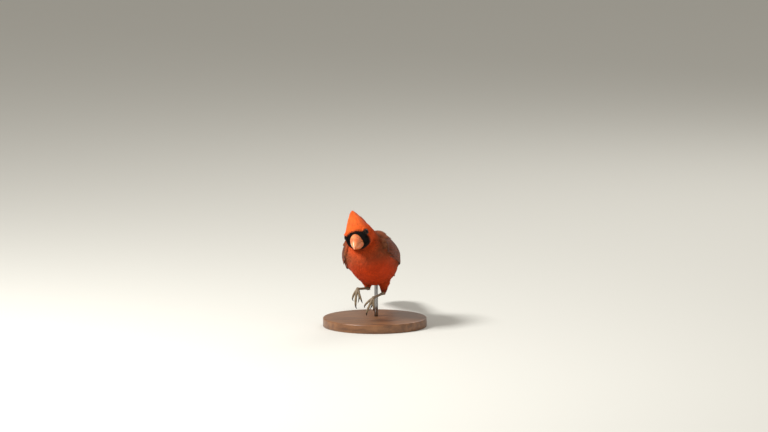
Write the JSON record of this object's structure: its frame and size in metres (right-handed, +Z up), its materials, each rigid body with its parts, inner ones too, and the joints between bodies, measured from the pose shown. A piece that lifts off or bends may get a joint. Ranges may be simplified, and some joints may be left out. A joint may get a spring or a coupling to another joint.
{
  "type": "northern cardinal model",
  "caption": "Life-size museum model of an adult male northern cardinal leaping with folded wings, held on a round base by a rod.",
  "frame": {"origin": "centre of the flat underside of the stand's round base", "axes": "+Z up, out of the base's top; the bird faces -Y, so the model is longest along Y; +X is the bird's left side"},
  "size_m": [0.104, 0.2152, 0.1223],
  "materials": {
    "red_plumage": "soft matte feathers, orange-red",
    "wing_plumage": "matte feathers, dark brownish red with grey edges",
    "tail_plumage": "matte feathers, dark red",
    "bill_horn": "satin horn, coral orange",
    "eye": "glossy dark brown",
    "leg_skin": "scaled skin, greyish brown",
    "claw_horn": "satin dark horn",
    "base_wood": "oiled, satin",
    "rod_steel": "brushed"
  },
  "bodies": {
    "root": {"head": "red_plumage", "neck": "red_plumage", "trunk": "red_plumage", "thigh_left": "red_plumage", "thigh_right": "red_plumage", "wing_left": "wing_plumage", "wing_right": "wing_plumage", "tail": "tail_plumage", "bill_upper": "bill_horn", "bill_lower": "bill_horn", "eye_left": "eye", "eye_right": "eye", "shank_left": "leg_skin", "shank_right": "leg_skin", "foot_left": "leg_skin", "foot_right": "leg_skin", "claw_left_inner": "claw_horn", "claw_left_middle": "claw_horn", "claw_left_outer": "claw_horn", "claw_left_hind": "claw_horn", "claw_right_inner": "claw_horn", "claw_right_middle": "claw_horn", "claw_right_outer": "claw_horn", "claw_right_hind": "claw_horn", "stand_base": "base_wood", "stand_rod": "rod_steel"}
  },
  "joints": []
}
